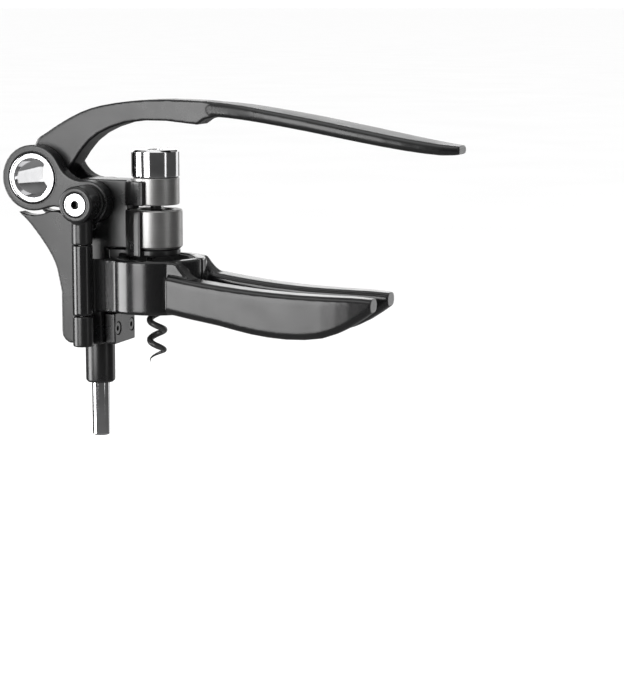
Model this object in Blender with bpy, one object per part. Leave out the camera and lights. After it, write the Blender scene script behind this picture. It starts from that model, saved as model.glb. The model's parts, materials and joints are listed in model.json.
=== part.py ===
"""Lever corkscrew, modelled as its separate pieces.

World axes: X runs from the rear hub to the ends of the handles, Y runs away from the
near grip to the far grip, Z is up. The origin is on the axis of the screw and of the
bottle neck, just below the jaws. The model is drawn as it sits on a bottle with the
screw home: the lever down, the grips squeezed.
"""
import math

import bmesh
import bpy
from mathutils import Matrix, Vector

MM = 0.001
GAP = 0.3 * MM              # between pieces that touch
RUN = 0.4 * MM              # between pieces that slide past each other

# The two ends of the link
HUB_X, HUB_Z = -53.8 * MM, 61.8 * MM
PIVOT_X, PIVOT_Z = -27.0 * MM, 51.6 * MM
# The wrist pin that lifts the carriage, and how far it drifts in its window
WRIST_X, WRIST_Z = -24.0 * MM, 48.0 * MM
WRIST_DRIFT_X, WRIST_DRIFT_Z = 5.7 * MM, 1.9 * MM
WRIST_R = 2.2 * MM

# Widths across Y: the web of the carriage, the link plates and the frame round it
WEB_HALF = 6.2 * MM
LINK_IN, LINK_T = WEB_HALF + 0.6 * MM, 6.7 * MM
FRAME_HALF = LINK_IN + LINK_T

# Link: an eye on each end, one plate on each side of the lever
LINK_HUB_R, LINK_PIVOT_R, LINK_NECK_R = 14.6 * MM, 9.6 * MM, 12.0 * MM
TUBE_R, TUBE_BORE_R = 11.0 * MM, 8.5 * MM
TUBE_PROUD = 0.3 * MM

# Frame casting
CHANNEL_HALF = LINK_IN
FRAME_BOTTOM = -11.2 * MM
FRAME_BACK = -40.3 * MM
FRAME_FRONT = -21.0 * MM
FRAME_REAR_WALL = 3.6 * MM
FRAME_FLOOR_TOP = 17.0 * MM
COLUMN_FRONT = -33.1 * MM
COLUMN_TOP = 41.3 * MM
HORN_X, HORN_Z = -61.2 * MM, 47.1 * MM
CRADLE_GAP = 1.9 * MM
PLATE_BACK = [(-58.2, 44.4), (-54.9, 41.2), (-49.5, 34.6), (-44.9, 27.8), (-42.3, 21.7)]
BOSS_R, BOSS_IN, BOSS_OUT = 8.1 * MM, FRAME_HALF + 1.5 * MM, FRAME_HALF + 12.2 * MM

# Pivot screws
SHOULDER_R, SCREW_HEAD_R, SCREW_HEAD_T = 3.0 * MM, 5.1 * MM, 1.7 * MM
SOCKET_R, SOCKET_DEPTH = 2.0 * MM, 2.6 * MM

# Hinge columns of the two grips
GRIP_PIN_X, GRIP_PIN_Y = -26.5 * MM, FRAME_HALF + 6.5 * MM
KNUCKLE_R, GRIP_PIN_R = 4.6 * MM, 1.8 * MM
KNUCKLE_BOTTOM, KNUCKLE_TOP = 2.7 * MM, 33.7 * MM
PIN_TOP = 41.0 * MM

# Bottle neck, jaws and pads
NECK_R = 14.6 * MM
PAD_T = 2.3 * MM
JAW_WALL = 5.1 * MM
JAW_R, JAW_BOTTOM, JAW_TOP = NECK_R + PAD_T + JAW_WALL, 3.9 * MM, 27.6 * MM
JAW_SPLIT = 0.6 * MM
REAR_SPLIT = 6.5 * MM
PAD_SHELF = 1.6 * MM

# Guide rod and its sleeve
ROD_X, ROD_R = -28.0 * MM, 4.0 * MM
ROD_BOTTOM, ROD_TOP = -54.4 * MM, 27.0 * MM
BUSH_T = 1.1 * MM
SLEEVE_R, SLEEVE_BOTTOM = ROD_R + RUN + BUSH_T + GAP + 0.8 * MM, -30.0 * MM
ROD_SCREW_R, ROD_SCREW_HEAD_R, ROD_SCREW_HEAD_T = 1.4 * MM, 2.8 * MM, 2.0 * MM
ROD_SCREW_DEPTH = 7.0 * MM

# Carriage
WEB_BACK, WEB_FRONT = -26.4 * MM, -8.2 * MM
WEB_BOTTOM, WEB_TOP = 31.5 * MM, 61.5 * MM
WEB_ROOF, ROOF_BACK = 3.0 * MM, -33.5 * MM
FOOT_BACK, FOOT_FRONT = -32.4 * MM, -22.3 * MM
FOOT_BOTTOM, FOOT_TOP, FOOT_SHOULDER, FOOT_SLOPE = 19.0 * MM, 30.5 * MM, 36.0 * MM, 4.0 * MM
TONGUE_HALF = 2.9 * MM
TONGUE_TIP_R = 4.3 * MM
WINDOW_SKIN = 1.0 * MM

# Screw head, worm and nut
HEAD_R = 10.5 * MM
HEAD_BOTTOM, HEAD_SPLIT, CAP_TOP = 50.8 * MM, 63.1 * MM, 75.0 * MM
CAP_SCREW_R, CAP_SINK, CAP_SCREW_RECESS = 3.2 * MM, 2.4 * MM, 0.5 * MM
HEX_R, HEX_DEPTH = 1.6 * MM, 1.4 * MM
FORK_T, FORK_EDGE_X = 2.1 * MM, -0.4 * MM
SHANK_R = 2.4 * MM
WORM_R, WIRE_R, WORM_PITCH = 3.2 * MM, 1.4 * MM, 9.0 * MM
WORM_TIP = -20.0 * MM
NUT_R, NUT_BOTTOM, NUT_TOP = 11.75 * MM, 31.4 * MM, 48.6 * MM
NUT_BORE_R, INSERT_T, NUT_CHAMFER = 5.0 * MM, 2.6 * MM, 1.0 * MM
CARRIER_WALL, CARRIER_FLOOR_Z = 1.5 * MM, 28.3 * MM
CARRIER_EDGE_X = -1.6 * MM
POST_HALF, POST_FRONT = 5.5 * MM, -15.6 * MM
FLANGE_HALF, FLANGE_TOP = 10.5 * MM, 2.5 * MM
FLANGE_SCREW_Y, FLANGE_SCREW_Z = 7.1 * MM, -4.4 * MM
FLANGE_SCREW_R, FLANGE_SCREW_HEAD_R, FLANGE_SCREW_HEAD_T = 1.5 * MM, 2.6 * MM, 2.0 * MM
FLANGE_SCREW_LENGTH = 12.0 * MM

# Lever: a flat arched arm that opens into a paddle-shaped handle
ARM_HALF = WEB_HALF
LEVER_HUB_R = 12.5 * MM
ARM_TOP = [(-56.5, 74.0), (-54.7, 78.6), (-50.6, 81.3), (-43.2, 85.9), (-33.3, 90.9),
           (-23.5, 93.9), (-9.0, 96.1), (7.7, 97.0), (24.2, 96.6), (30.0, 96.2)]
ARM_UNDER = [(30.0, 89.6), (26.0, 88.7), (22.6, 86.3), (17.0, 86.8), (7.6, 87.7),
             (-1.9, 87.7), (-11.5, 86.5), (-18.8, 84.2), (-24.7, 81.4), (-29.6, 77.8),
             (-33.6, 73.3), (-37.1, 68.3), (-43.0, 62.0)]
# Handle sections: X, top, underside, half width
HANDLE = [(24.0, 96.4, 89.6, 5.6), (33.0, 96.0, 89.7, 7.6), (43.0, 95.1, 89.0, 9.6),
          (55.0, 93.4, 87.6, 11.0), (75.0, 90.3, 84.6, 12.0), (98.0, 86.2, 80.6, 12.0),
          (118.0, 82.6, 77.4, 11.0), (133.0, 80.3, 75.7, 8.6), (140.5, 79.5, 76.0, 5.6)]

# Grip handle and the hump behind it: X, top, underside, outer face, inner face
GRIP = [(13.5, 21.6, 5.0, 22.0, 9.0), (17.5, 21.2, 4.4, 22.0, 8.6), (25.0, 19.9, 3.0, 21.8, 8.2),
        (38.0, 18.2, 0.8, 21.2, 7.8), (52.0, 16.8, -2.2, 20.4, 7.4), (68.0, 15.8, -3.8, 19.6, 7.0),
        (84.0, 15.4, -2.6, 18.8, 6.8), (96.0, 15.3, 2.5, 17.8, 6.6), (105.5, 14.8, 9.0, 16.6, 7.0)]
HUMP = [(6.0, 27.3, 10.0, 18.2, 10.0), (15.6, 27.3, 10.0, 18.0, 10.0), (17.4, 26.8, 10.0, 18.0, 10.0),
        (19.6, 24.0, 10.0, 18.0, 10.0), (21.6, 21.9, 10.0, 18.0, 10.0), (25.0, 19.6, 10.0, 18.0, 10.0)]

ROUND = 32                  # segments of a full turn
JAW_STEPS = 88              # and of the jaws
SMOOTH_ANGLE = math.radians(35)
WELD = 0.004 * MM           # vertices closer than this are one


def material(name, colour, metallic, roughness):
    """A Principled material with one colour."""
    result = bpy.data.materials.new(name)
    result.use_nodes = True
    shader = result.node_tree.nodes["Principled BSDF"]
    shader.inputs["Base Color"].default_value = (*colour, 1.0)
    shader.inputs["Metallic"].default_value = metallic
    shader.inputs["Roughness"].default_value = roughness
    return result


def make(name, bm, look):
    """Turn a bmesh into an object with outward faces."""
    bmesh.ops.remove_doubles(bm, verts=bm.verts, dist=1e-6)
    bmesh.ops.recalc_face_normals(bm, faces=bm.faces)
    mesh = bpy.data.meshes.new(name)
    bm.to_mesh(mesh)
    bm.free()
    result = bpy.data.objects.new(name, mesh)
    bpy.context.scene.collection.objects.link(result)
    if look:
        mesh.materials.append(look)
    return result


def prism(name, outline, axis, low, high, look=None):
    """Extrude a closed outline between two levels along an axis.

    An outline is given in (X, Z) for axis Y, in (X, Y) for axis Z.
    """
    bm = bmesh.new()
    place = {"Y": lambda p, level: (p[0], level, p[1]), "Z": lambda p, level: (p[0], p[1], level)}[axis]
    face = bm.faces.new([bm.verts.new(place(p, low)) for p in outline])
    along = Vector((0, high - low, 0)) if axis == "Y" else Vector((0, 0, high - low))
    extruded = bmesh.ops.extrude_face_region(bm, geom=[face])
    moved = [v for v in extruded["geom"] if isinstance(v, bmesh.types.BMVert)]
    bmesh.ops.translate(bm, vec=along, verts=moved)
    return make(name, bm, look)


def box(name, low, high, look=None):
    """A box from its lowest corner to its highest."""
    outline = [(low[0], low[1]), (high[0], low[1]), (high[0], high[1]), (low[0], high[1])]
    return prism(name, outline, "Z", low[2], high[2], look)


def turned(name, profile, centre, axis="Z", look=None, steps=ROUND):
    """Turn a closed profile of (radius, level) points about an axis through centre."""
    bm = bmesh.new()
    rings = []
    for radius, level in profile:
        if radius < 1e-9:
            rings.append([bm.verts.new((0, 0, level))])
            continue
        turn = [math.tau * i / steps for i in range(steps)]
        rings.append([bm.verts.new((radius * math.cos(a), radius * math.sin(a), level)) for a in turn])
    for one, two in zip(rings, rings[1:] + rings[:1]):
        if len(one) == 1 and len(two) == 1:
            continue
        for i in range(steps):
            j = (i + 1) % steps
            corners = [one[i % len(one)], one[j % len(one)], two[j % len(two)], two[i % len(two)]]
            bm.faces.new(list(dict.fromkeys(corners)))
    turn_to = {"Z": Matrix(), "Y": Matrix.Rotation(-math.pi / 2, 4, "X"),
               "X": Matrix.Rotation(math.pi / 2, 4, "Y")}[axis]
    bmesh.ops.transform(bm, matrix=Matrix.Translation(centre) @ turn_to, verts=bm.verts)
    return make(name, bm, look)


def rod(name, radius, low, high, centre, axis="Z", look=None, chamfer=0.0, steps=ROUND):
    """A solid round bar between two levels along an axis, with its ends chamfered."""
    profile = [(0, low), (radius - chamfer, low)]
    if chamfer:
        profile += [(radius, low + chamfer), (radius, high - chamfer)]
    profile += [(radius - chamfer, high), (0, high)]
    return turned(name, profile, centre, axis, look, steps)


def ring(name, inner, outer, low, high, centre, axis="Z", look=None, chamfer=0.0):
    """A hollow round bar between two levels along an axis."""
    profile = [(inner, low), (outer - chamfer, low)]
    if chamfer:
        profile += [(outer, low + chamfer), (outer, high - chamfer)]
    profile += [(outer - chamfer, high), (inner, high)]
    return turned(name, profile, centre, axis, look)


def weld(mesh):
    """Merge the vertices that a Boolean leaves on top of each other."""
    bm = bmesh.new()
    bm.from_mesh(mesh)
    bmesh.ops.remove_doubles(bm, verts=bm.verts, dist=WELD)
    bmesh.ops.dissolve_degenerate(bm, edges=bm.edges, dist=WELD)
    bm.to_mesh(mesh)
    bm.free()


def combine(target, tools, operation):
    """Union or difference of the target with each tool, which is used up."""
    for tool in tools:
        cut = target.modifiers.new(operation.lower(), "BOOLEAN")
        cut.operation = operation
        cut.solver = "EXACT"
        cut.object = tool
        bpy.context.view_layer.update()
        shape = bpy.data.meshes.new_from_object(
            target.evaluated_get(bpy.context.evaluated_depsgraph_get()))
        target.modifiers.clear()
        weld(shape)
        used = target.data
        target.data = shape
        bpy.data.meshes.remove(used)
        bpy.data.objects.remove(tool)
    return target


def join(target, *tools):
    return combine(target, tools, "UNION")


def cut(target, *tools):
    return combine(target, tools, "DIFFERENCE")


def arc(centre, radius, start, end, steps):
    """Points on a circle from one angle to another, in degrees."""
    angles = [math.radians(start + (end - start) * i / steps) for i in range(steps + 1)]
    return [(centre[0] + radius * math.cos(a), centre[1] + radius * math.sin(a)) for a in angles]


def direction(start, end):
    """Angle of the line between two points, in degrees."""
    return math.degrees(math.atan2(end[1] - start[1], end[0] - start[0]))


def smooth_line(points, steps=3):
    """A Catmull-Rom curve through the points."""
    padded = [points[0]] + list(points) + [points[-1]]
    result = []
    for a, b, c, d in zip(padded, padded[1:], padded[2:], padded[3:]):
        for i in range(steps):
            t = i / steps
            weights = (-t ** 3 + 2 * t ** 2 - t, 3 * t ** 3 - 5 * t ** 2 + 2,
                       -3 * t ** 3 + 4 * t ** 2 + t, t ** 3 - t ** 2)
            result.append(tuple(sum(w * p[k] for w, p in zip(weights, (a, b, c, d))) / 2
                                for k in range(len(points[0]))))
    return result + [tuple(points[-1])]


def loft(name, sections, corner, look=None):
    """Skin a row of rounded rectangles: X, top, underside, and the two sides in Y."""
    bm = bmesh.new()
    rings = []
    for x, top, under, y_high, y_low in sections:
        radius = min(corner, 0.45 * (top - under), 0.45 * abs(y_high - y_low))
        loop = []
        for cy, cz, start in ((y_high - radius, top - radius, 0), (y_low + radius, top - radius, 90),
                              (y_low + radius, under + radius, 180), (y_high - radius, under + radius, 270)):
            loop += arc((cy, cz), radius, start, start + 90, 3)
        rings.append([bm.verts.new((x, y, z)) for y, z in loop])
    for one, two in zip(rings, rings[1:]):
        for i in range(len(one)):
            j = (i + 1) % len(one)
            bm.faces.new((one[i], one[j], two[j], two[i]))
    bm.faces.new(rings[0])
    bm.faces.new(rings[-1])
    return make(name, bm, look)


def neck_centre(radius):
    """Centre of the fillet that joins the link's two eyes from below."""
    hub, pivot = Vector((HUB_X, HUB_Z)), Vector((PIVOT_X, PIVOT_Z))
    span = (pivot - hub).length
    to_hub, to_pivot = LINK_HUB_R + radius, LINK_PIVOT_R + radius
    along = (span ** 2 + to_hub ** 2 - to_pivot ** 2) / (2 * span)
    unit = (pivot - hub) / span
    return hub, pivot, unit, along, math.sqrt(to_hub ** 2 - along ** 2)


def link_outline():
    """Two round eyes joined by a concave neck."""
    hub, pivot, unit, along, away = neck_centre(LINK_NECK_R)
    side = Vector((-unit.y, unit.x))
    above = hub + unit * along + side * away
    below = hub + unit * along - side * away
    points = arc(hub, LINK_HUB_R, direction(hub, above), direction(hub, below) + 360, 24)
    points += arc(below, LINK_NECK_R, direction(below, hub), direction(below, pivot), 6)[1:]
    points += arc(pivot, LINK_PIVOT_R, direction(pivot, below), direction(pivot, above), 16)[1:]
    points += arc(above, LINK_NECK_R, direction(above, pivot), direction(above, hub), 6)[1:-1]
    return points


def cradle_outline():
    """Top edge of the side plates: the link's underside at a clearance, horn to column."""
    hub, pivot, unit, along, away = neck_centre(LINK_NECK_R)
    side = Vector((-unit.y, unit.x))
    below = hub + unit * along - side * away
    hub_r, neck_r, pivot_r = (LINK_HUB_R + CRADLE_GAP, LINK_NECK_R - CRADLE_GAP, LINK_PIVOT_R + CRADLE_GAP)
    horn = direction(hub, (HORN_X, HORN_Z))
    points = arc(hub, hub_r, horn, direction(hub, below), 8)
    points += arc(below, neck_r, direction(below, hub), direction(below, pivot), 6)[1:]
    column = -math.degrees(math.acos((COLUMN_FRONT - PIVOT_X) / pivot_r))
    points += arc(pivot, pivot_r, direction(pivot, below), column, 3)[1:]
    return points


def casting_outline():
    """Side view of the frame casting."""
    corner = 5.0 * MM
    points = arc((FRAME_BACK + corner, FRAME_BOTTOM + corner), corner, 180, 270, 4)
    points += [(FRAME_FRONT, FRAME_BOTTOM), (FRAME_FRONT, FRAME_FLOOR_TOP), (COLUMN_FRONT, FRAME_FLOOR_TOP)]
    points += reversed(cradle_outline())
    back = [(HORN_X, HORN_Z)] + [(x * MM, z * MM) for x, z in PLATE_BACK] + [(FRAME_BACK, 12.0 * MM)]
    return points + smooth_line(back, 2)[1:]


def gusset_plan(side):
    """Plan of the web from a side plate out to the knuckle on that side."""
    root, front = COLUMN_FRONT - 4.0 * MM, COLUMN_FRONT - 0.2 * MM
    face, inside = FRAME_HALF - 0.3 * MM, FRAME_HALF - 3.5 * MM
    points = [(root, inside), (root, face), (front, face),
              (GRIP_PIN_X - 0.85 * KNUCKLE_R, GRIP_PIN_Y + 0.1 * KNUCKLE_R), (GRIP_PIN_X, GRIP_PIN_Y),
              (GRIP_PIN_X + 0.65 * KNUCKLE_R, GRIP_PIN_Y - 0.55 * KNUCKLE_R),
              (GRIP_PIN_X - 0.5 * MM, FRAME_HALF - 1.3 * MM), (front, inside)]
    return [(x, side * y) for x, y in points]


def frame_casting(look):
    """One casting: two side plates, rear wall, rod block, hinge knuckles and pivot bosses."""
    casting = prism("frame_casting", casting_outline(), "Y", -FRAME_HALF, FRAME_HALF, look)
    rear = FRAME_BACK + FRAME_REAR_WALL
    cut(casting,
        box("channel", (rear, -CHANNEL_HALF, FRAME_FLOOR_TOP), (0, CHANNEL_HALF, 0.1)),
        box("upper_gap", (-0.1, -CHANNEL_HALF, KNUCKLE_TOP), (0, CHANNEL_HALF, 0.1)))
    for side in (-1, 1):
        y_pin = side * GRIP_PIN_Y
        for name, bottom, top in (("lower", FRAME_BOTTOM, KNUCKLE_BOTTOM - GAP),
                                  ("upper", KNUCKLE_TOP + GAP, COLUMN_TOP)):
            join(casting, prism(name + "_gusset", gusset_plan(side), "Z", bottom, top))
        join(casting, rod("lower_knuckle", KNUCKLE_R, FRAME_BOTTOM, KNUCKLE_BOTTOM - GAP,
                          (GRIP_PIN_X, y_pin, 0)),
             rod("upper_knuckle", KNUCKLE_R, KNUCKLE_TOP + GAP, PIVOT_Z, (GRIP_PIN_X, y_pin, 0)),
             rod("boss", BOSS_R, min(side * BOSS_IN, side * BOSS_OUT), max(side * BOSS_IN, side * BOSS_OUT),
                 (PIVOT_X, 0, PIVOT_Z), "Y", chamfer=0.8 * MM))
        head = BOSS_OUT - SCREW_HEAD_T - GAP
        cut(casting,
            rod("pin_hole", GRIP_PIN_R + GAP, FRAME_BOTTOM - MM, PIN_TOP + GAP,
                (GRIP_PIN_X, y_pin, 0), steps=20),
            rod("pivot_hole", SHOULDER_R + GAP, min(0, side * 0.05), max(0, side * 0.05),
                (PIVOT_X, 0, PIVOT_Z), "Y", steps=24),
            rod("head_seat", SCREW_HEAD_R + GAP, min(side * head, side * 0.05), max(side * head, side * 0.05),
                (PIVOT_X, 0, PIVOT_Z), "Y"),
            rod("flange_screw_hole", FLANGE_SCREW_R + GAP, FRAME_FRONT - FLANGE_SCREW_LENGTH, 0,
                (0, side * FLANGE_SCREW_Y, FLANGE_SCREW_Z), "X", steps=16))
    cut(casting, rod("rod_bore", ROD_R + RUN, -0.1, 0.1, (ROD_X, 0, 0), steps=32))
    return casting


def pivot_screws(look, washer_look):
    """Shoulder screws that carry the link, one on each side, and their washers."""
    for side, name in ((-1, "near"), (1, "far")):
        base = BOSS_OUT - SCREW_HEAD_T
        profile = [(0, LINK_IN + GAP), (SHOULDER_R, LINK_IN + GAP), (SHOULDER_R, base), (SCREW_HEAD_R, base),
                   (SCREW_HEAD_R, BOSS_OUT - 0.3 * MM), (SCREW_HEAD_R - 0.3 * MM, BOSS_OUT), (0, BOSS_OUT)]
        screw = turned("pivot_screw_" + name, [(r, side * y) for r, y in profile],
                       (PIVOT_X, 0, PIVOT_Z), "Y", look)
        socket = [side * (BOSS_OUT - SOCKET_DEPTH), side * (BOSS_OUT + MM)]
        cut(screw, rod("socket", SOCKET_R, min(socket), max(socket), (PIVOT_X, 0, PIVOT_Z), "Y", steps=6))
        face = [side * (LINK_IN + LINK_T + GAP), side * (BOSS_IN - GAP)]
        ring("pivot_washer_" + name, SHOULDER_R + GAP, LINK_PIVOT_R - 1.6 * MM, min(face), max(face),
             (PIVOT_X, 0, PIVOT_Z), "Y", washer_look)


def hinge_pins(look):
    for side, name in ((-1, "near"), (1, "far")):
        rod("grip_pin_" + name, GRIP_PIN_R, FRAME_BOTTOM + 0.2 * MM, PIN_TOP,
            (GRIP_PIN_X, side * GRIP_PIN_Y, 0), look=look, chamfer=0.3 * MM, steps=20)


def sleeve_and_bush(look, bush_look):
    """Sleeve under the frame block, with the bush that guides the rod."""
    bush_r = ROD_R + RUN + BUSH_T
    sleeve = ring("guide_sleeve", bush_r + GAP, SLEEVE_R, SLEEVE_BOTTOM, FRAME_BOTTOM - GAP,
                  (ROD_X, 0, 0), look=look, chamfer=0.8 * MM)
    ring("guide_bush", ROD_R + RUN, bush_r, SLEEVE_BOTTOM + 0.6 * MM, FRAME_BOTTOM - 2 * GAP,
         (ROD_X, 0, 0), look=bush_look)
    return sleeve


def link_plates(look):
    for side, name in ((-1, "near"), (1, "far")):
        faces = [side * LINK_IN, side * (LINK_IN + LINK_T)]
        plate = prism("link_plate_" + name, link_outline(), "Y", min(faces), max(faces), look)
        cut(plate,
            rod("hub_bore", TUBE_R + GAP, -0.05, 0.05, (HUB_X, 0, HUB_Z), "Y"),
            rod("pivot_bore", SHOULDER_R + GAP, -0.05, 0.05, (PIVOT_X, 0, PIVOT_Z), "Y", steps=24))


def hub_tube(look):
    half = LINK_IN + LINK_T + TUBE_PROUD
    ring("hub_tube", TUBE_BORE_R, TUBE_R, -half, half, (HUB_X, 0, HUB_Z), "Y", look, chamfer=0.4 * MM)


def lever(look, pin_look):
    """Arm with its hub, its thin tongue down to the wrist pin, and the handle."""
    in_metres = [[(x * MM, z * MM) for x, z in line] for line in (ARM_TOP, ARM_UNDER)]
    outline = smooth_line(in_metres[0], 2) + in_metres[1]
    arm = prism("lever_arm", outline, "Y", -ARM_HALF, ARM_HALF, look)
    sections = [(x * MM, top * MM, under * MM, half * MM, -half * MM)
                for x, top, under, half in smooth_line(HANDLE, 2)]
    wrist, hub = Vector((WRIST_X, WRIST_Z)), Vector((HUB_X, HUB_Z))
    across = Vector((hub.y - wrist.y, wrist.x - hub.x)).normalized() * TONGUE_TIP_R
    tongue = [tuple(p) for p in (wrist + across, wrist - across, hub - across, hub + across)]
    join(arm,
         loft("handle", sections, 2.2 * MM),
         rod("hub", LEVER_HUB_R, -ARM_HALF, ARM_HALF, (HUB_X, 0, HUB_Z), "Y"),
         prism("tongue", tongue, "Y", -TONGUE_HALF, TONGUE_HALF),
         rod("tongue_tip", TONGUE_TIP_R, -TONGUE_HALF, TONGUE_HALF, (WRIST_X, 0, WRIST_Z), "Y", steps=24))
    cut(arm,
        rod("hub_bore", TUBE_R + GAP, -0.05, 0.05, (HUB_X, 0, HUB_Z), "Y"),
        rod("wrist_bore", WRIST_R + GAP, -0.05, 0.05, (WRIST_X, 0, WRIST_Z), "Y", steps=20))
    pin_half = WEB_HALF - WINDOW_SKIN - GAP
    rod("wrist_pin", WRIST_R, -pin_half, pin_half, (WRIST_X, 0, WRIST_Z), "Y", pin_look, steps=20)


def carriage(look, rod_look):
    """Block that carries the screw head; the lever's tongue works inside its slot."""
    outline = [(FOOT_BACK, FOOT_BOTTOM), (FOOT_FRONT, FOOT_BOTTOM), (FOOT_FRONT, WEB_BOTTOM),
               (WEB_FRONT, WEB_BOTTOM), (WEB_FRONT, WEB_TOP), (ROOF_BACK, WEB_TOP),
               (ROOF_BACK, WEB_TOP - WEB_ROOF), (WEB_BACK, WEB_TOP - WEB_ROOF),
               (WEB_BACK, FOOT_SHOULDER + FOOT_SLOPE), (FOOT_BACK, FOOT_SHOULDER)]
    block = prism("carriage_block", outline, "Y", -WEB_HALF, WEB_HALF, look)
    fork_r = HEAD_R + GAP + FORK_T
    join(block, rod("fork", fork_r, HEAD_BOTTOM, WEB_TOP, (0, 0, 0)))
    slot_front = WRIST_X + WRIST_DRIFT_X + TONGUE_TIP_R + RUN
    slot_half = TONGUE_HALF + RUN
    window = WRIST_R + RUN
    nut_r = NUT_R + GAP + RUN
    cut(block,
        box("front_half", (FORK_EDGE_X, -0.1, 0), (0.1, 0.1, 0.1)),
        box("slot", (-0.1, -slot_half, FOOT_TOP), (slot_front, slot_half, WEB_TOP - WEB_ROOF)),
        box("window", (WRIST_X - window, -(WEB_HALF - WINDOW_SKIN), WRIST_Z - window),
            (WRIST_X + WRIST_DRIFT_X + window, WEB_HALF - WINDOW_SKIN, WRIST_Z + WRIST_DRIFT_Z + window)),
        turned("nut_and_head", [(0, 0), (nut_r, 0), (nut_r, HEAD_BOTTOM - GAP),
                                (HEAD_R + GAP, HEAD_BOTTOM - GAP), (HEAD_R + GAP, 0.1), (0, 0.1)], (0, 0, 0)),
        rod("rod_seat", ROD_R + GAP, 0, ROD_TOP + GAP, (ROD_X, 0, 0), steps=32),
        rod("rod_screw_hole", ROD_SCREW_R + GAP, 0, FOOT_TOP + MM, (ROD_X, 0, 0), steps=16))
    guide = rod("guide_rod", ROD_R, ROD_BOTTOM, ROD_TOP, (ROD_X, 0, 0), look=rod_look, chamfer=0.7 * MM)
    tip, seat = ROD_TOP - ROD_SCREW_DEPTH, FOOT_TOP + GAP
    cut(guide, rod("tapped_hole", ROD_SCREW_R + GAP, tip - MM, 0.1, (ROD_X, 0, 0), steps=16))
    turned("rod_screw", [(0, tip), (ROD_SCREW_R, tip), (ROD_SCREW_R, seat), (ROD_SCREW_HEAD_R, seat),
                         (ROD_SCREW_HEAD_R, seat + ROD_SCREW_HEAD_T), (0, seat + ROD_SCREW_HEAD_T)],
           (ROD_X, 0, 0), look=rod_look, steps=16)


def screw_head(body_look, cap_look):
    """Satin body in the carriage's fork, the bright cap on it and the cap's screw."""
    bore, edge, cap_edge = SHANK_R + GAP, 0.5 * MM, 1.0 * MM
    sunk, sink_r = CAP_TOP - CAP_SINK, CAP_SCREW_R + 0.4 * MM
    turned("head_body", [(bore, HEAD_BOTTOM), (HEAD_R - edge, HEAD_BOTTOM), (HEAD_R, HEAD_BOTTOM + edge),
                         (HEAD_R, HEAD_SPLIT - GAP), (bore, HEAD_SPLIT - GAP)], (0, 0, 0), look=body_look)
    turned("head_cap", [(bore, HEAD_SPLIT), (HEAD_R, HEAD_SPLIT), (HEAD_R, CAP_TOP - cap_edge),
                        (HEAD_R - cap_edge, CAP_TOP), (sink_r, CAP_TOP), (sink_r, sunk), (bore, sunk)],
           (0, 0, 0), look=cap_look)
    screw_top = CAP_TOP - CAP_SCREW_RECESS
    screw = rod("cap_screw", CAP_SCREW_R, sunk + GAP, screw_top, (0, 0, 0), look=cap_look, steps=24)
    cut(screw, rod("cap_socket", HEX_R, CAP_TOP - HEX_DEPTH, 0.1, (0, 0, 0), steps=6))


def worm(look):
    """Open helix with a tapered tip, hanging from a straight shank."""
    sides, per_turn = 6, 12
    start = HEAD_BOTTOM - 1.5 * MM
    levels = (CAP_TOP - CAP_SINK, start + 4 * MM, start + 1.5 * MM)
    path = [((0, 0, level), SHANK_R) for level in levels]
    turns = (start - WORM_TIP) / WORM_PITCH
    count = round(turns * per_turn)
    for i in range(1, count + 1):
        turned_by = math.tau * i / per_turn
        away = WORM_R * min(1.0, i / (0.5 * per_turn))
        left = (count - i) / per_turn
        wire = WIRE_R * min(1.0, 0.12 + 0.88 * left / 0.8)
        if i < 0.5 * per_turn:
            wire = SHANK_R + (WIRE_R - SHANK_R) * i / (0.5 * per_turn)
        point = (away * math.cos(turned_by), away * math.sin(turned_by), start - WORM_PITCH * i / per_turn)
        path.append((point, wire))
    bm = bmesh.new()
    rings = []
    frame_x = Vector((1, 0, 0))
    for i, (point, radius) in enumerate(path):
        before, after = Vector(path[max(i - 1, 0)][0]), Vector(path[min(i + 1, len(path) - 1)][0])
        along = (after - before).normalized()
        frame_x = (frame_x - along * frame_x.dot(along)).normalized()
        frame_y = along.cross(frame_x)
        ring_points = [Vector(point) + radius * (frame_x * math.cos(a) + frame_y * math.sin(a))
                       for a in (math.tau * k / sides for k in range(sides))]
        rings.append([bm.verts.new(p) for p in ring_points])
    for one, two in zip(rings, rings[1:]):
        for k in range(sides):
            j = (k + 1) % sides
            bm.faces.new((one[k], one[j], two[j], two[k]))
    bm.faces.new(rings[0])
    bm.faces.new(rings[-1])
    return make("worm", bm, look)


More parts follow.
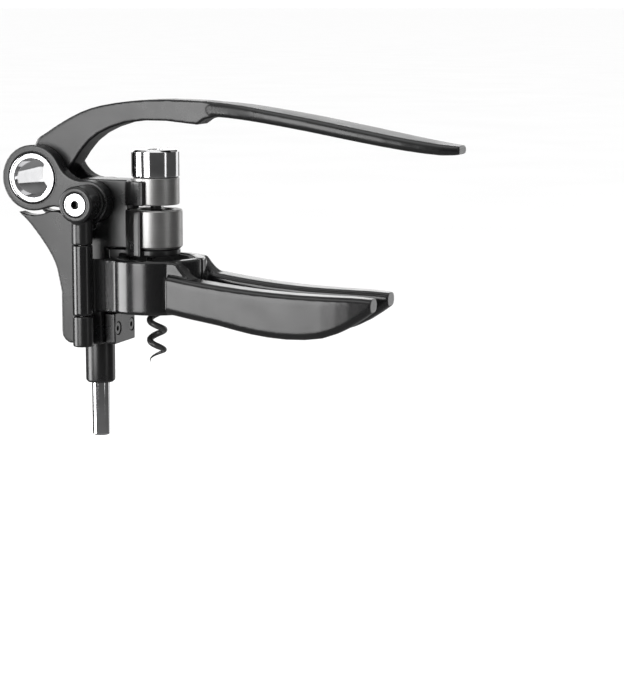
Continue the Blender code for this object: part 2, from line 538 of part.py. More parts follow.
def nut_parts(housing_look, insert_look, carrier_look, screw_look):
    """Nut housing with its insert, standing in a carrier bolted to the frame's front."""
    insert_r = NUT_BORE_R + INSERT_T
    bore, edge = insert_r + GAP, 0.4 * MM
    turned("nut_housing", [(bore, NUT_BOTTOM), (NUT_R - NUT_CHAMFER, NUT_BOTTOM),
                           (NUT_R, NUT_BOTTOM + NUT_CHAMFER), (NUT_R, NUT_TOP - edge),
                           (NUT_R - edge, NUT_TOP), (bore, NUT_TOP)], (0, 0, 0), look=housing_look)
    ring("nut_insert", NUT_BORE_R, insert_r, NUT_BOTTOM, NUT_TOP - 0.8 * MM, (0, 0, 0), look=insert_look)
    outer = NUT_R + GAP + CARRIER_WALL
    arm_half = WEB_HALF + RUN
    floor_top = NUT_BOTTOM - GAP
    open_sides = [(-0.1, -arm_half), (CARRIER_EDGE_X, -arm_half), (CARRIER_EDGE_X, -0.1), (0.1, -0.1),
                  (0.1, 0.1), (CARRIER_EDGE_X, 0.1), (CARRIER_EDGE_X, arm_half), (-0.1, arm_half)]
    carrier = rod("nut_carrier", outer, CARRIER_FLOOR_Z, NUT_TOP, (0, 0, 0), look=carrier_look)
    bolted = FRAME_FRONT + GAP
    rim = NUT_R - NUT_CHAMFER
    edge = math.degrees(math.acos(CARRIER_EDGE_X / rim))
    round_rim = arc((0, 0), rim, edge, -edge, 24)
    in_front = [(0.1, 0.1), (CARRIER_EDGE_X, 0.1)] + round_rim + [(CARRIER_EDGE_X, -0.1), (0.1, -0.1)]
    cut(carrier,
        prism("round_rim", in_front, "Z", 0, 0.1),
        prism("open_sides", open_sides, "Z", floor_top, 0.1),
        rod("nut_seat", NUT_R + GAP, floor_top, 0.1, (0, 0, 0)))
    join(carrier,
         box("shelf", (bolted, -POST_HALF, CARRIER_FLOOR_Z + GAP), (-insert_r, POST_HALF, floor_top - GAP)),
         box("post", (bolted, -POST_HALF, FRAME_BOTTOM), (POST_FRONT, POST_HALF, floor_top - 2 * GAP)),
         box("flange", (bolted, -FLANGE_HALF, FRAME_BOTTOM), (POST_FRONT, FLANGE_HALF, FLANGE_TOP)))
    cut(carrier, rod("worm_hole", NUT_BORE_R, 0, 0.1, (0, 0, 0)))
    for side, name in ((-1, "near"), (1, "far")):
        centre = (0, side * FLANGE_SCREW_Y, FLANGE_SCREW_Z)
        head_in, face = POST_FRONT - FLANGE_SCREW_HEAD_T, POST_FRONT - GAP
        cut(carrier,
            rod("screw_hole", FLANGE_SCREW_R + GAP, -0.1, 0, centre, "X", steps=16),
            rod("head_seat", FLANGE_SCREW_HEAD_R + GAP, head_in - GAP, 0, centre, "X", steps=24))
        tip = FRAME_FRONT - FLANGE_SCREW_LENGTH + GAP
        bolt = turned("carrier_screw_" + name,
                      [(0, tip), (FLANGE_SCREW_R, tip), (FLANGE_SCREW_R, head_in),
                       (FLANGE_SCREW_HEAD_R, head_in), (FLANGE_SCREW_HEAD_R, face), (0, face)],
                      centre, "X", screw_look, 24)
        socket = 0.5 * FLANGE_SCREW_HEAD_R
        cut(bolt, rod("hex_socket", socket, POST_FRONT - HEX_DEPTH, 0, centre, "X", steps=6))


def grip(side, name, look, pad_look):
    """Jaw, hinge knuckle and handle of one grip; side is -1 for the near one."""
    def sided(y):
        return side * y

    other = sorted((sided(JAW_SPLIT), sided(-0.1)))
    jaw = rod("grip_" + name, JAW_R, JAW_BOTTOM, JAW_TOP, (0, 0, 0), look=look, chamfer=0.8 * MM,
              steps=JAW_STEPS)
    cut(jaw,
        box("other_half", (-0.1, other[0], -0.1), (0.1, other[1], 0.1)),
        box("behind", (-0.1, -0.1, -0.1), (FRAME_FRONT + RUN, 0.1, 0.1)))
    back, inside, face = FRAME_FRONT + RUN, JAW_R - 13.0 * MM, JAW_R - 3.1 * MM
    shoulder = [(back, inside), (back, FRAME_HALF + 0.8 * MM), (GRIP_PIN_X, FRAME_HALF + 1.6 * MM),
                (GRIP_PIN_X, GRIP_PIN_Y), (back - 1.5 * MM, face - 2.1 * MM), (-0.48 * JAW_R, face),
                (-0.48 * JAW_R, inside)]
    hump, handle = ([(x * MM, top * MM, under * MM, *sorted((sided(a * MM), sided(b * MM)), reverse=True))
                     for x, top, under, a, b in table] for table in (HUMP, smooth_line(GRIP, 2)))
    join(jaw,
         prism("shoulder", [(x, sided(y)) for x, y in shoulder], "Z", JAW_BOTTOM + GAP, JAW_TOP - GAP),
         loft("hump", hump, 1.2 * MM),
         loft("handle", handle, 2.6 * MM),
         rod("knuckle", KNUCKLE_R, KNUCKLE_BOTTOM, KNUCKLE_TOP, (GRIP_PIN_X, sided(GRIP_PIN_Y), 0)))
    pad_r = NECK_R + PAD_T
    rear = sorted((sided(REAR_SPLIT), sided(-0.1)))
    cut(jaw,
        rod("pad_seat", pad_r + GAP, JAW_BOTTOM + PAD_SHELF, 0.1, (0, 0, 0), steps=JAW_STEPS),
        rod("neck", NECK_R + 0.6 * MM, -0.1, 0.1, (0, 0, 0), steps=JAW_STEPS),
        box("rear_gap", (-0.1, rear[0], -0.1), (0, rear[1], 0.1)),
        rod("pin_hole", GRIP_PIN_R + GAP, -0.1, 0.1, (GRIP_PIN_X, sided(GRIP_PIN_Y), 0), steps=20))
    pad = ring("jaw_pad_" + name, NECK_R, pad_r, JAW_BOTTOM + PAD_SHELF + GAP, JAW_TOP - 0.5 * MM,
               (0, 0, 0), look=pad_look)
    cut(pad,
        box("other_half", (-0.1, other[0], -0.1), (0.1, other[1], 0.1)),
        box("rear_gap", (-0.1, rear[0], -0.1), (0, rear[1], 0.1)))


def build():
    for old in list(bpy.data.objects):
        bpy.data.objects.remove(old)
    black = material("satin_black", (0.012, 0.012, 0.013), 0.0, 0.38)
    chrome = material("chrome", (0.82, 0.82, 0.83), 1.0, 0.08)
    satin = material("satin_steel", (0.56, 0.55, 0.54), 1.0, 0.34)
    dark = material("coated_worm", (0.03, 0.03, 0.03), 0.3, 0.3)
    plastic = material("black_plastic", (0.02, 0.02, 0.02), 0.0, 0.5)
    rubber = material("rubber", (0.02, 0.02, 0.02), 0.0, 0.8)
    frame_casting(black)
    pivot_screws(chrome, plastic)
    hinge_pins(satin)
    sleeve_and_bush(black, plastic)
    link_plates(black)
    hub_tube(chrome)
    lever(black, satin)
    carriage(black, chrome)
    screw_head(satin, chrome)
    worm(dark)
    nut_parts(satin, plastic, black, satin)
    for side, name in ((-1, "near"), (1, "far")):
        grip(side, name, black, rubber)
    for piece in bpy.data.objects:
        piece.data.shade_smooth()
        piece.data.set_sharp_from_angle(angle=SMOOTH_ANGLE)


build()
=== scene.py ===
"""Looks of the lever corkscrew: cast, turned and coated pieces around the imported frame."""
import json
import math

import bmesh
import bpy
from mathutils import Matrix, Vector

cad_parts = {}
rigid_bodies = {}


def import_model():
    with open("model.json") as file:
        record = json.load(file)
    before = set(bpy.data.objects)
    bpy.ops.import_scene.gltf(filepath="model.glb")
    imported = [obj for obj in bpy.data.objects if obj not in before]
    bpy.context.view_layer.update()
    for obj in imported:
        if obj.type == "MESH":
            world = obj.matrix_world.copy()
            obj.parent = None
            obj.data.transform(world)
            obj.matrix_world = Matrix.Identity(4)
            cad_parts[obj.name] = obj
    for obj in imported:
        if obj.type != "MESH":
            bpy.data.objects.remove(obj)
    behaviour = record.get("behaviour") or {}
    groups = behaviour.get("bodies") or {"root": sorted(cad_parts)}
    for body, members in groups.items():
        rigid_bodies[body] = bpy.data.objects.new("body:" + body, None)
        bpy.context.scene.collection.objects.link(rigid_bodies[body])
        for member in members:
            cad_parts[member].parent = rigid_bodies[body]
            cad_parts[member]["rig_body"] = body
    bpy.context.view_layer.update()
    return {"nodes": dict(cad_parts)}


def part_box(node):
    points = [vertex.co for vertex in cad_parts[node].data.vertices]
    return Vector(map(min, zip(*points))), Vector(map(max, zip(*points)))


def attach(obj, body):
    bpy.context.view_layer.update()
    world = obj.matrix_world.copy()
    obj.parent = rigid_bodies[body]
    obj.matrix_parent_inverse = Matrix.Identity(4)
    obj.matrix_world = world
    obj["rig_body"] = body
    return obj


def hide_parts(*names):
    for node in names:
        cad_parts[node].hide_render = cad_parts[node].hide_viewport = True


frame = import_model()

MM = 0.001
TURN = 96                   # segments of a turned piece
SMOOTH_ANGLE = math.radians(32)
GAP = 0.3 * MM              # clearance round the bush and the nut's insert
MERGE = 1e-7                # corners closer than this become one
ON_AXIS = 1e-9              # a radius below this is on the axis
CORNER_STEPS = 4            # segments of a rounded corner
CORNER_SHARE = 0.45         # most of an edge that one rounded corner takes
UNEVEN = 0.06               # how far a coat's roughness strays

# Camera: angles round and above the object, distance to its target, lens
AZIMUTH, ELEVATION = math.radians(20.2), math.radians(8.8)
DISTANCE, TARGET = 0.9929, (0.06526, 0.02214, -0.01142)
LENS, SENSOR = 116.9, 36.0

FLOOR_Z, FLOOR_SIZE = -0.29, 300
LIT = (0.03, 0, 0.03)       # what the softboxes face
# Softboxes: name, place, width, height, radiance
SOFTBOXES = [("left_key", (-1.30, -0.62, 0.02), 0.74, 1.1, 9.0),
             ("front_fill", (-0.46, -1.36, 0.20), 0.66, 1.0, 5.8),
             ("overhead", (0.05, -0.1, 1.5), 1.3, 1.3, 0.9),
             ("back_strip", (-0.35, 1.5, 0.30), 1.6, 0.36, 1.9),
             ("bore_glow", (0.55, 1.30, 0.0), 0.7, 0.9, 1.1),
             ("rear_fill", (-1.25, 1.05, 0.45), 0.8, 0.9, 3.0),
             ("right_strip", (1.25, -0.35, 0.25), 0.18, 1.2, 1.5)]
WORLD_LIGHT = 1.19
# World as reflections see it: height of the direction, 0 below and 1 above, and grey
REFLECTED = [(0.30, 0.26), (0.41, 0.075), (0.62, 0.075), (0.90, 0.45)]

# Castings: node, voxel size and rounds of smoothing
CASTINGS = [("frame_casting", 0.42 * MM, 6), ("lever_arm", 0.48 * MM, 7), ("grip_near", 0.42 * MM, 9),
            ("grip_far", 0.42 * MM, 9), ("link_plate_near", 0.36 * MM, 6), ("link_plate_far", 0.36 * MM, 6),
            ("carriage_block", 0.34 * MM, 5), ("nut_carrier", 0.34 * MM, 5)]

# Screw head: its bore, the sunk middle of the cap, and the socket of the cap's screw
HEAD_BORE, CAP_SINK_R, CAP_SINK, CAP_EDGE = 2.9 * MM, 3.7 * MM, 2.4 * MM, 0.9 * MM
CAP_SOCKET_R = 1.6 * MM
CAP_SOCKET_FLOOR = -0.2             # as a share of half of the screw's height

# Worm: straight down to SHANK_DROP below the head, then out to its full width over EASE_TURNS;
# its last TAPER_TURNS thin down to TIP_SHARE of the wire
SHANK_R, WIRE_R, PITCH = 2.4 * MM, 1.4 * MM, 9.0 * MM
SHANK_DROP, TIP_GAP = 1.5 * MM, 0.2 * MM
SHANK_RINGS = (3 * MM, 1 * MM)      # rings that keep the shank straight, above where the wire leaves it
EASE_TURNS, TAPER_TURNS, TIP_SHARE = 0.5, 0.8, 0.04
WORM_SIDES, WORM_STEPS = 14, 40     # round the wire, and to a turn

# Pivot screws
PIVOT_HEAD_T, SHOULDER_R, SOCKET_R, SOCKET_DEPTH = 1.7 * MM, 3.0 * MM, 2.0 * MM, 2.8 * MM
PIVOT_EDGE = 0.35 * MM


# ---------------------------------------------------------------- materials

def new_material(name):
    """A node material with its Principled shader and a link helper."""
    result = bpy.data.materials.new(name)
    result.use_nodes = True
    nodes, links = result.node_tree.nodes, result.node_tree.links
    return result, nodes, links, nodes["Principled BSDF"]


def noise(nodes, links, scale, detail=2.0, roughness=0.5, stretch=(1, 1, 1)):
    """Object-space noise, in cells per metre."""
    place = nodes.new("ShaderNodeTexCoord")
    mapping = nodes.new("ShaderNodeMapping")
    mapping.inputs["Scale"].default_value = stretch
    texture = nodes.new("ShaderNodeTexNoise")
    texture.inputs["Scale"].default_value = scale
    texture.inputs["Detail"].default_value = detail
    texture.inputs["Roughness"].default_value = roughness
    links.new(place.outputs["Object"], mapping.inputs["Vector"])
    links.new(mapping.outputs["Vector"], texture.inputs["Vector"])
    return texture.outputs["Fac"]


def spread(nodes, links, source, low, high):
    """Map a noise value's middle range to low..high."""
    ramp = nodes.new("ShaderNodeMapRange")
    ramp.inputs["From Min"].default_value = 0.3
    ramp.inputs["From Max"].default_value = 0.7
    ramp.inputs["To Min"].default_value = low
    ramp.inputs["To Max"].default_value = high
    links.new(source, ramp.inputs["Value"])
    return ramp.outputs["Result"]


def tint(nodes, links, source, dark, light):
    """Mix two colours by a noise value."""
    mix = nodes.new("ShaderNodeMix")
    mix.data_type = "RGBA"
    mix.inputs["A"].default_value = (*dark, 1)
    mix.inputs["B"].default_value = (*light, 1)
    links.new(spread(nodes, links, source, 0.0, 1.0), mix.inputs["Factor"])
    return mix.outputs["Result"]


def add_bump(nodes, links, shader, source, height, strength):
    """Raise the surface by up to height metres where the source is 1."""
    bump = nodes.new("ShaderNodeBump")
    bump.inputs["Strength"].default_value = strength
    bump.inputs["Distance"].default_value = height
    links.new(source, bump.inputs["Height"])
    links.new(bump.outputs["Normal"], shader.inputs["Normal"])


def black_coat(name, gloss):
    """Black coat on a casting: a faintly pebbled skin, its gloss uneven."""
    result, nodes, links, shader = new_material(name)
    fine = noise(nodes, links, scale=2200, detail=3.0, roughness=0.6)
    broad = noise(nodes, links, scale=90, detail=3.0)
    colour = tint(nodes, links, fine, (0.003, 0.003, 0.0032), (0.006, 0.006, 0.0063))
    links.new(colour, shader.inputs["Base Color"])
    links.new(spread(nodes, links, broad, low=gloss, high=gloss + UNEVEN), shader.inputs["Roughness"])
    shader.inputs["Specular IOR Level"].default_value = 0.62
    add_bump(nodes, links, shader, fine, height=0.03 * MM, strength=0.3)
    return result


def bright_chrome():
    """Polished plate with faint long waves."""
    result, nodes, links, shader = new_material("bright_chrome")
    shader.inputs["Metallic"].default_value = 1.0
    wave = noise(nodes, links, scale=160)
    colour = tint(nodes, links, wave, (0.66, 0.66, 0.67), (0.72, 0.72, 0.73))
    links.new(colour, shader.inputs["Base Color"])
    links.new(spread(nodes, links, wave, low=0.07, high=0.11), shader.inputs["Roughness"])
    add_bump(nodes, links, shader, wave, height=0.02 * MM, strength=0.15)
    return result


def chrome_with_painted_socket_shade(centre, radius):
    """Polished plate with painted shade: near black and not metal inside a radius of the axis across Y,
    where the socket is.
    """
    result, nodes, links, shader = new_material("chrome_with_painted_socket_shade")
    shader.inputs["Roughness"].default_value = 0.16
    place = nodes.new("ShaderNodeTexCoord")
    flatten = nodes.new("ShaderNodeVectorMath")
    flatten.operation = "MULTIPLY"
    flatten.inputs[1].default_value = (1, 0, 1)
    links.new(place.outputs["Object"], flatten.inputs[0])
    reach = nodes.new("ShaderNodeVectorMath")
    reach.operation = "DISTANCE"
    reach.inputs[1].default_value = (centre.x, 0, centre.z)
    links.new(flatten.outputs["Vector"], reach.inputs[0])
    outside = nodes.new("ShaderNodeMath")
    outside.operation = "GREATER_THAN"
    outside.inputs[1].default_value = radius
    links.new(reach.outputs["Value"], outside.inputs[0])
    # painted shade: inside the socket's radius the colour is near black and the surface is not metallic
    mix = nodes.new("ShaderNodeMix")
    mix.data_type = "RGBA"
    mix.inputs["A"].default_value = (0.004, 0.004, 0.004, 1)
    mix.inputs["B"].default_value = (0.83, 0.83, 0.84, 1)
    links.new(outside.outputs["Value"], mix.inputs["Factor"])
    links.new(mix.outputs["Result"], shader.inputs["Base Color"])
    links.new(outside.outputs["Value"], shader.inputs["Metallic"])
    return result


def turned_steel(name, across):
    """Satin steel with fine turning lines across the given axis."""
    result, nodes, links, shader = new_material(name)
    shader.inputs["Metallic"].default_value = 1.0
    lines = noise(nodes, links, scale=60, detail=3.0, roughness=0.7, stretch=across)
    cloud = noise(nodes, links, scale=220, detail=4.0, roughness=0.6)
    colour = tint(nodes, links, lines, (0.40, 0.397, 0.392), (0.46, 0.457, 0.452))
    links.new(colour, shader.inputs["Base Color"])
    links.new(spread(nodes, links, cloud, low=0.37, high=0.43), shader.inputs["Roughness"])
    add_bump(nodes, links, shader, lines, height=0.012 * MM, strength=0.4)
    return result


def worm_coat():
    """Dark non-stick coating, slightly worn."""
    result, nodes, links, shader = new_material("worm_coat")
    cloud = noise(nodes, links, scale=500, detail=4.0, roughness=0.6)
    colour = tint(nodes, links, cloud, (0.02, 0.02, 0.02), (0.05, 0.05, 0.05))
    links.new(colour, shader.inputs["Base Color"])
    links.new(spread(nodes, links, cloud, low=0.25, high=0.4), shader.inputs["Roughness"])
    shader.inputs["Metallic"].default_value = 0.4
    return result


def moulded(name, colour, roughness, cells):
    """Moulded plastic or rubber with a fine grain."""
    result, nodes, links, shader = new_material(name)
    grain = noise(nodes, links, scale=cells, detail=3.0, roughness=0.6)
    lift = 1.6
    lighter = tuple(lift * c for c in colour)
    links.new(tint(nodes, links, grain, colour, lighter), shader.inputs["Base Color"])
    uneven = spread(nodes, links, grain, low=roughness - UNEVEN, high=roughness + UNEVEN)
    links.new(uneven, shader.inputs["Roughness"])
    add_bump(nodes, links, shader, grain, height=0.03 * MM, strength=0.4)
    return result


BLACK = black_coat("satin_black", 0.26)
GLOSSY = black_coat("gloss_black", 0.17)
CHROME = bright_chrome()
STEEL_Z = turned_steel("turned_steel", (1, 1, 90))
STEEL_Y = turned_steel("turned_steel_side", (1, 90, 1))
WORM = worm_coat()
PLASTIC = moulded("black_plastic", (0.015, 0.015, 0.015), roughness=0.45, cells=1800)
RUBBER = moulded("pad_rubber", (0.018, 0.018, 0.018), roughness=0.75, cells=2400)


# ---------------------------------------------------------------- pieces

def settle(piece, node, look):
    """Give a finished piece its material and the body of the CAD node it stands for, and hide that node."""
    piece.data.materials.clear()
    piece.data.materials.append(look)
    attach(piece, frame["nodes"][node]["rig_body"])
    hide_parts(node)


def link_object(name, mesh):
    result = bpy.data.objects.new(name, mesh)
    bpy.context.scene.collection.objects.link(result)
    return result


def from_bmesh(name, bm):
    bmesh.ops.remove_doubles(bm, verts=bm.verts, dist=MERGE)
    bmesh.ops.recalc_face_normals(bm, faces=bm.faces)
    mesh = bpy.data.meshes.new(name)
    bm.to_mesh(mesh)
    bm.free()
    return link_object(name, mesh)


def apply_modifiers(piece):
    """Replace the piece's mesh by what its modifiers make of it."""
    bpy.context.view_layer.update()
    evaluated = piece.evaluated_get(bpy.context.evaluated_depsgraph_get())
    made = bpy.data.meshes.new_from_object(evaluated)
    piece.modifiers.clear()
    piece.data = made


def cast(node, voxel, rounds, look):
    """A casting: the CAD solid with its facets blended and every edge run over."""
    piece = link_object(node + "_skin", frame["nodes"][node].data.copy())
    remesh = piece.modifiers.new("remesh", "REMESH")
    remesh.mode = "VOXEL"
    remesh.voxel_size = voxel
    soften = piece.modifiers.new("soften", "SMOOTH")
    soften.factor = 0.5
    soften.iterations = rounds
    apply_modifiers(piece)
    piece.data.shade_smooth()
    settle(piece, node, look)


def rounded(profile, radius):
    """A closed (radius, level) profile with every corner off the axis rounded."""
    result = []
    count = len(profile)
    for i, corner in enumerate(profile):
        if corner[0] < ON_AXIS:
            result.append(corner)
            continue
        here = Vector(corner)
        before, after = Vector(profile[i - 1]), Vector(profile[(i + 1) % count])
        reach = min(radius, CORNER_SHARE * (before - here).length,
                    CORNER_SHARE * (after - here).length)
        start = here + (before - here).normalized() * reach
        end = here + (after - here).normalized() * reach
        for k in range(CORNER_STEPS + 1):
            t = k / CORNER_STEPS
            result.append(tuple((1 - t) ** 2 * start + 2 * t * (1 - t) * here + t ** 2 * end))
    return result


AXES = {"Z": Matrix(), "Y": Matrix.Rotation(-math.pi / 2, 4, "X")}


def turned(name, profile, centre, axis="Z", edge=0.25 * MM):
    """A turned piece from a closed (radius, level) profile, its corners rounded by edge."""
    bm = bmesh.new()
    angles = [math.tau * i / TURN for i in range(TURN)]
    rings = []
    for radius, level in rounded(profile, edge):
        if radius < ON_AXIS:
            rings.append([bm.verts.new((0, 0, level))])
            continue
        rings.append([bm.verts.new((radius * math.cos(a), radius * math.sin(a), level)) for a in angles])
    for one, two in zip(rings, rings[1:] + rings[:1]):
        if len(one) == 1 and len(two) == 1:
            continue
        for i in range(TURN):
            j = (i + 1) % TURN
            corners = [one[i % len(one)], one[j % len(one)], two[j % len(two)], two[i % len(two)]]
            bm.faces.new(list(dict.fromkeys(corners)))
    bmesh.ops.transform(bm, matrix=Matrix.Translation(centre) @ AXES[axis], verts=bm.verts)
    piece = from_bmesh(name, bm)
    piece.data.shade_smooth()
    piece.data.set_sharp_from_angle(angle=SMOOTH_ANGLE)
    return piece


def drill_socket(piece, centre, radius, low, high, axis):
    """Cut a hexagon socket along an axis."""
    bm = bmesh.new()
    bmesh.ops.create_cone(bm, cap_ends=True, segments=6, radius1=radius, radius2=radius,
                          depth=high - low)
    place = Matrix.Translation(centre) @ AXES[axis] @ Matrix.Translation((0, 0, (low + high) / 2))
    bmesh.ops.transform(bm, matrix=place, verts=bm.verts)
    tool = from_bmesh("socket_tool", bm)
    cutter = piece.modifiers.new("socket", "BOOLEAN")
    cutter.operation = "DIFFERENCE"
    cutter.object = tool
    apply_modifiers(piece)
    bpy.data.objects.remove(tool)
    piece.data.shade_smooth()
    piece.data.set_sharp_from_angle(angle=SMOOTH_ANGLE)


def middle(node):
    """Centre and half size of a node's box."""
    low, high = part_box(node)
    return (low + high) / 2, (high - low) / 2


def castings():
    """Every cast piece, each with its own voxel size and rounding."""
    for node, voxel, rounds in CASTINGS:
        cast(node, voxel, rounds, GLOSSY if node.startswith("grip") else BLACK)


def screw_head():
    """Bright cap on its satin body, and the cap's screw."""
    centre, half = middle("head_cap")
    radius, low, high = half.x, -half.z, half.z
    sunk = high - CAP_SINK
    profile = [(HEAD_BORE, low), (radius, low), (radius, high - CAP_EDGE), (radius - CAP_EDGE, high),
               (CAP_SINK_R, high), (CAP_SINK_R, sunk), (HEAD_BORE, sunk)]
    cap = turned("head_cap_bright", profile, centre)
    settle(cap, "head_cap", CHROME)
    centre, half = middle("head_body")
    radius, low, high = half.x, -half.z, half.z
    foot, shoulder = 0.4 * MM, 0.3 * MM
    profile = [(HEAD_BORE, low), (radius - foot, low), (radius, low + foot),
               (radius, high - shoulder), (radius - shoulder, high), (HEAD_BORE, high)]
    body = turned("head_body_satin", profile, centre, edge=0.15 * MM)
    settle(body, "head_body", STEEL_Z)
    centre, half = middle("cap_screw")
    profile = [(0, -half.z), (half.x, -half.z), (half.x, half.z), (0, half.z)]
    screw = turned("cap_screw_turned", profile, centre)
    drill_socket(screw, centre, CAP_SOCKET_R, CAP_SOCKET_FLOOR * half.z, 2 * half.z, "Z")
    settle(screw, "cap_screw", STEEL_Z)


def nut():
    """Satin nut housing with a broad chamfer under it."""
    centre, half = middle("nut_housing")
    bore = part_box("nut_insert")[1].x + GAP
    radius, low, high = half.x, -half.z, half.z
    foot, shoulder = 1.0 * MM, 0.5 * MM
    profile = [(bore, low), (radius - foot, low), (radius, low + foot),
               (radius, high - shoulder), (radius - shoulder, high), (bore, high)]
    housing = turned("nut_housing_satin", profile, centre)
    settle(housing, "nut_housing", STEEL_Z)


def hub():
    """Hollow bright axle with rounded ends and a smooth bore."""
    centre, half = middle("hub_tube")
    wall = 2.5 * MM
    bore = half.x - wall
    profile = [(bore, -half.y), (half.x, -half.y), (half.x, half.y), (bore, half.y)]
    tube = turned("hub_tube_bright", profile, centre, axis="Y", edge=0.5 * MM)
    settle(tube, "hub_tube", CHROME)


def guide():
    """Bright rod and the sleeve it slides in."""
    centre, half = middle("guide_rod")
    radius, low, high, chamfer = half.x, -half.z, half.z, 0.7 * MM
    profile = [(0, low), (radius - chamfer, low), (radius, low + chamfer),
               (radius, high - chamfer), (radius - chamfer, high), (0, high)]
    rod = turned("guide_rod_bright", profile, centre)
    settle(rod, "guide_rod", CHROME)
    centre, half = middle("guide_sleeve")
    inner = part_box("guide_bush")[1].x - centre.x + GAP
    radius, low, high, chamfer = half.x, -half.z, half.z, 0.9 * MM
    profile = [(inner, low), (radius - chamfer, low), (radius, low + chamfer), (radius, high), (inner, high)]
    sleeve = turned("guide_sleeve_turned", profile, centre)
    settle(sleeve, "guide_sleeve", BLACK)


def pivots():
    """Shoulder screws of the link, each with a hexagon socket."""
    # the pivot screws' sockets get their painted shade from this material
    look = chrome_with_painted_socket_shade(middle("pivot_screw_near")[0], SOCKET_R + 0.02 * MM)
    for side, name in ((-1, "near"), (1, "far")):
        node = "pivot_screw_" + name
        centre, half = middle(node)
        outer, inner = side * half.y, -side * half.y
        step = outer - side * PIVOT_HEAD_T
        profile = [(0, inner), (SHOULDER_R, inner), (SHOULDER_R, step), (half.x, step), (half.x, outer),
                   (0, outer)]
        screw = turned(node + "_bright", profile, centre, axis="Y", edge=PIVOT_EDGE)
        span = sorted((outer - side * SOCKET_DEPTH, outer + side * MM))
        drill_socket(screw, centre, SOCKET_R, *span, "Y")
        settle(screw, node, look)


def worm():
    """Open helix drawn out to a sharp, off-centre tip."""
    low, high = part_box("worm")
    centre_r = high.x - WIRE_R
    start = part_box("head_body")[0].z - SHANK_DROP
    path = [((0, 0, high.z), SHANK_R)] + [((0, 0, start + above), SHANK_R) for above in SHANK_RINGS]
    count = round((start - low.z - TIP_GAP) / PITCH * WORM_STEPS)
    for i in range(1, count + 1):
        angle = math.tau * i / WORM_STEPS
        ease = min(1.0, i / (EASE_TURNS * WORM_STEPS))
        away = centre_r * ease
        left = (count - i) / WORM_STEPS
        thinned = min(1.0, TIP_SHARE + (1 - TIP_SHARE) * left / TAPER_TURNS)
        radius = (SHANK_R + (WIRE_R - SHANK_R) * ease) * thinned
        point = (away * math.cos(angle), away * math.sin(angle), start - PITCH * i / WORM_STEPS)
        path.append((point, radius))
    bm = bmesh.new()
    turn = [math.tau * k / WORM_SIDES for k in range(WORM_SIDES)]
    rings = []
    frame_x = Vector((1, 0, 0))
    for i, (point, radius) in enumerate(path):
        before, after = path[max(i - 1, 0)][0], path[min(i + 1, len(path) - 1)][0]
        along = (Vector(after) - Vector(before)).normalized()
        frame_x = (frame_x - along * frame_x.dot(along)).normalized()
        frame_y = along.cross(frame_x)
        rings.append([bm.verts.new(Vector(point) + radius * (frame_x * math.cos(a) + frame_y * math.sin(a)))
                      for a in turn])
    for one, two in zip(rings, rings[1:]):
        for k in range(WORM_SIDES):
            j = (k + 1) % WORM_SIDES
            bm.faces.new((one[k], one[j], two[j], two[k]))
    bm.faces.new(rings[0])
    bm.faces.new(rings[-1])
    piece = from_bmesh("worm_coated", bm)
    piece.data.shade_smooth()
    settle(piece, "worm", WORM)


def carried_over():
    """CAD nodes that keep their shape and get a finished material."""
    looks = {"pivot_washer_near": PLASTIC, "pivot_washer_far": PLASTIC,
             "guide_bush": PLASTIC, "nut_insert": PLASTIC,
             "grip_pin_near": STEEL_Z, "grip_pin_far": STEEL_Z,
             "carrier_screw_near": GLOSSY, "carrier_screw_far": GLOSSY,
             "rod_screw": STEEL_Z, "wrist_pin": STEEL_Y,
             "jaw_pad_near": RUBBER, "jaw_pad_far": RUBBER}
    for node, look in looks.items():
        cad = frame["nodes"][node]
        cad.data.materials.clear()
        cad.data.materials.append(look)
        cad.data.shade_smooth()
        cad.data.set_sharp_from_angle(angle=SMOOTH_ANGLE)


# ---------------------------------------------------------------- stage

def softbox(name, place, width, height, radiance):
    """A rectangular light that faces the object and doesn't show itself."""
    data = bpy.data.lights.new(name, "AREA")
    data.shape = "RECTANGLE"
    data.size, data.size_y = width, height
    data.energy = radiance * math.pi * width * height
    light = bpy.data.objects.new(name, data)
    bpy.context.scene.collection.objects.link(light)
    light.location = place
    light.rotation_euler = (Vector(LIT) - Vector(place)).to_track_quat("-Z", "Y").to_euler()
    light.visible_camera = False


def pale_floor():
    """Even, pale ground well below the object."""
    bm = bmesh.new()
    bmesh.ops.create_grid(bm, x_segments=2, y_segments=2, size=FLOOR_SIZE)
    bmesh.ops.translate(bm, vec=(0, 0, FLOOR_Z), verts=bm.verts)
    floor = from_bmesh("floor", bm)
    result, nodes, links, shader = new_material("pale_floor")
    cloud = noise(nodes, links, scale=3)
    colour = tint(nodes, links, cloud, (0.86, 0.86, 0.86), (0.88, 0.88, 0.88))
    links.new(colour, shader.inputs["Base Color"])
    shader.inputs["Roughness"].default_value = 0.9
    floor.data.materials.append(result)
    floor.visible_glossy = False


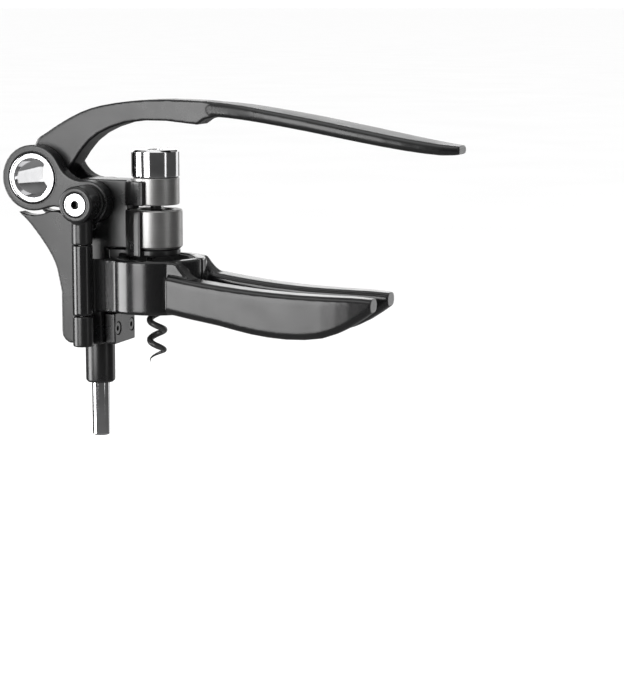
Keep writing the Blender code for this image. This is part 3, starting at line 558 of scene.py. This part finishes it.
def surroundings():
    """Even light from all round; reflections see it darker, by the height of their direction."""
    world = bpy.data.worlds.new("studio")
    bpy.context.scene.world = world
    world.use_nodes = True
    nodes, links = world.node_tree.nodes, world.node_tree.links
    back = nodes["Background"]
    path = nodes.new("ShaderNodeLightPath")
    mix = nodes.new("ShaderNodeMix")
    mix.data_type = "RGBA"
    mix.inputs["A"].default_value = (WORLD_LIGHT, WORLD_LIGHT, WORLD_LIGHT, 1)
    links.new(path.outputs["Is Glossy Ray"], mix.inputs["Factor"])
    place = nodes.new("ShaderNodeTexCoord")
    parts = nodes.new("ShaderNodeSeparateXYZ")
    height = nodes.new("ShaderNodeMapRange")
    height.inputs["From Min"].default_value = -1.0
    ramp = nodes.new("ShaderNodeValToRGB")
    stops = ramp.color_ramp.elements
    while len(stops) < len(REFLECTED):
        stops.new(0.5)
    for stop, (level, grey) in zip(stops, REFLECTED):
        stop.position = level
        stop.color = (grey, grey, grey, 1)
    links.new(place.outputs["Generated"], parts.inputs["Vector"])
    links.new(parts.outputs["Z"], height.inputs["Value"])
    links.new(height.outputs["Result"], ramp.inputs["Fac"])
    links.new(ramp.outputs["Color"], mix.inputs["B"])
    links.new(mix.outputs["Result"], back.inputs["Color"])


def camera_from_photo():
    """The camera that the object's parallel edges in the photograph were fitted with."""
    toward = Vector((math.sin(AZIMUTH) * math.cos(ELEVATION), -math.cos(AZIMUTH) * math.cos(ELEVATION),
                     math.sin(ELEVATION)))
    data = bpy.data.cameras.new("camera")
    data.lens, data.sensor_width = LENS, SENSOR
    camera = bpy.data.objects.new("camera", data)
    bpy.context.scene.collection.objects.link(camera)
    camera.location = Vector(TARGET) + toward * DISTANCE
    camera.rotation_euler = (-toward).to_track_quat("-Z", "Y").to_euler()
    data.clip_start, data.clip_end = 0.01, 100
    bpy.context.scene.camera = camera
    bpy.context.scene.view_settings.view_transform = "Standard"


castings()
screw_head()
nut()
hub()
guide()
pivots()
worm()
carried_over()

pale_floor()
for softbox_values in SOFTBOXES:
    softbox(*softbox_values)
surroundings()
camera_from_photo()
